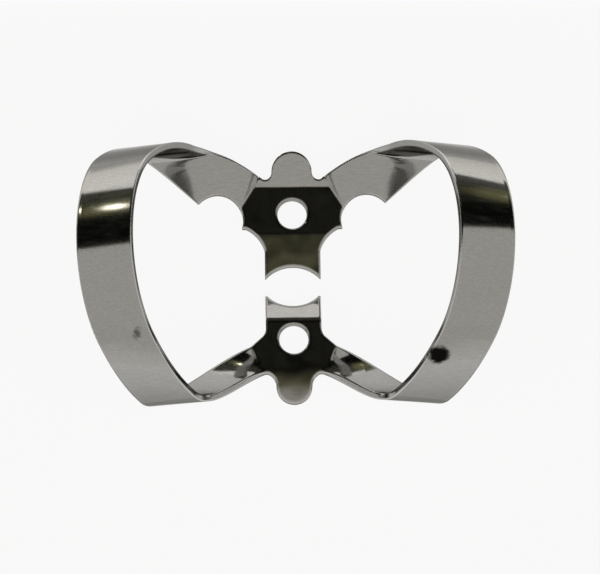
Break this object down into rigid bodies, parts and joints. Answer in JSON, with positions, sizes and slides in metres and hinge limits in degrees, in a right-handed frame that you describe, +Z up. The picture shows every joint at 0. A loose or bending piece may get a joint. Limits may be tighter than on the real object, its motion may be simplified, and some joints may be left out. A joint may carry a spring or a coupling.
{
  "type": "rubber dam clamp",
  "caption": "Spring steel rubber dam clamp: leaning bows join facing jaws with pronged tips, tabs and forceps holes, folded from a single sheet.",
  "frame": {"origin": "centre of the bounding box on the table plane", "axes": "+Z up from the table to the crests of the bows, +X from one bow to the other, +Y from the jaw with the steep prongs to the scalloped jaw with the raised tab"},
  "size_m": [0.033, 0.0198, 0.0163],
  "materials": {
    "steel": "satin"
  },
  "bodies": {
    "root": {"clamp_body": "steel"}
  },
  "joints": []
}
